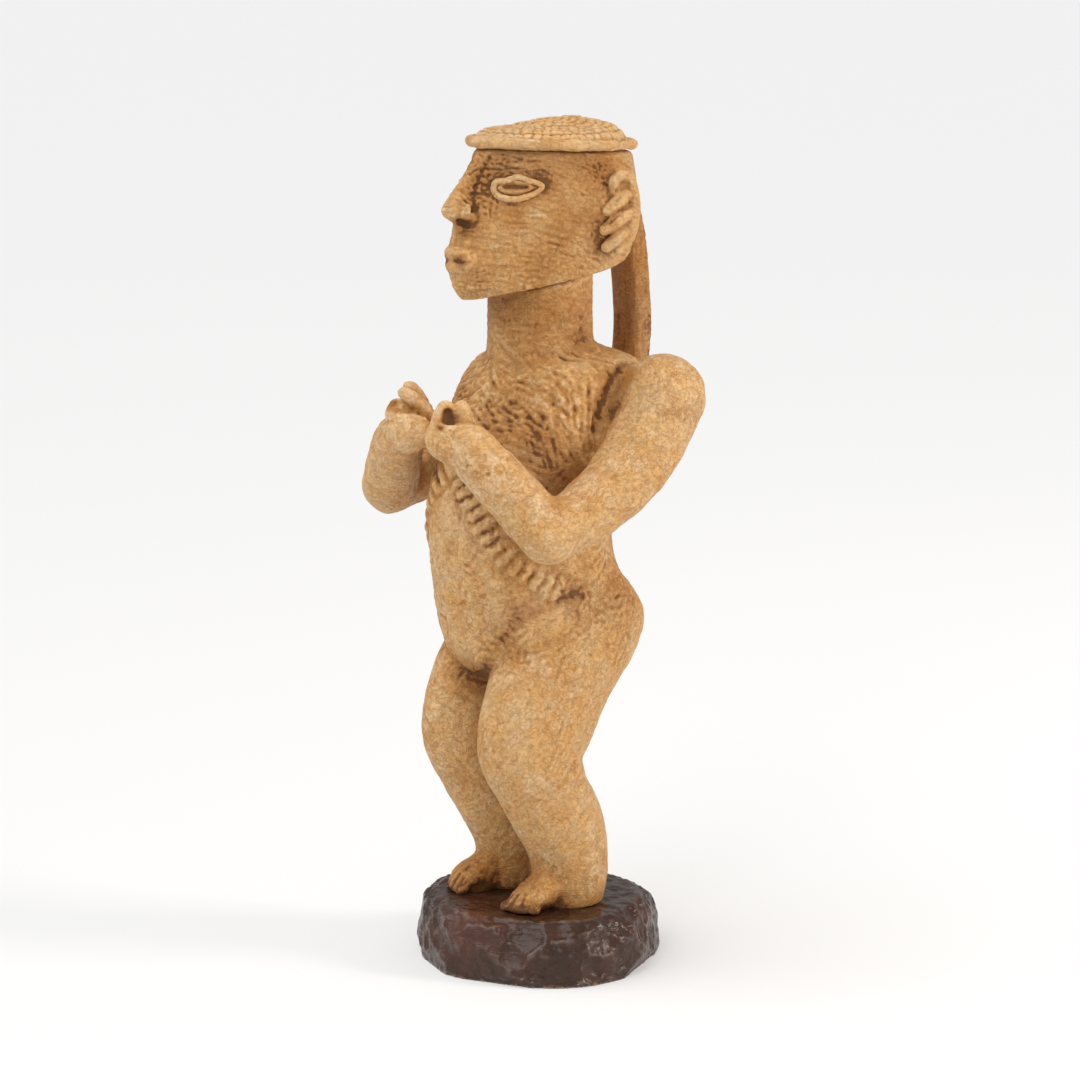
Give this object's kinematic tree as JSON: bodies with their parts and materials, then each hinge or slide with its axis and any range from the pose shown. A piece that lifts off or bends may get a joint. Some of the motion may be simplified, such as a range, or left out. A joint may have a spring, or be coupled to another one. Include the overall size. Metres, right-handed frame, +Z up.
{
  "type": "fertility doll",
  "caption": "Standing figure with bent knees and raised hands, a low brimmed cap and a long strap-like plait, on a rough rounded plinth.",
  "frame": {"origin": "middle of the plinth's underside, below the figure's upright axis", "axes": "+Z up through the head, figure faces -Y, figure's left is +X"},
  "size_m": [0.1255, 0.1154, 0.3293],
  "materials": {
    "pale_figure": "pale ivory to ochre surface with brown wash in the hollows, satin",
    "brown_plinth": "dark brown glossy paint over tool facets, worn pale on the ridges, small cream chips",
    "dowel_wood": "plain turned hardwood peg"
  },
  "bodies": {
    "root": {"plinth": "brown_plinth", "left_leg": "pale_figure", "right_leg": "pale_figure", "trunk": "pale_figure", "head": "pale_figure", "crown": "pale_figure", "brim": "pale_figure", "left_eye_rim": "pale_figure", "right_eye_rim": "pale_figure", "left_ear": "pale_figure", "right_ear": "pale_figure", "plait": "pale_figure", "left_arm": "pale_figure", "right_arm": "pale_figure", "left_foot_dowel": "dowel_wood", "right_foot_dowel": "dowel_wood", "left_hip_dowel": "dowel_wood", "right_hip_dowel": "dowel_wood", "neck_dowel": "dowel_wood", "left_shoulder_dowel": "dowel_wood", "right_shoulder_dowel": "dowel_wood"}
  },
  "joints": []
}
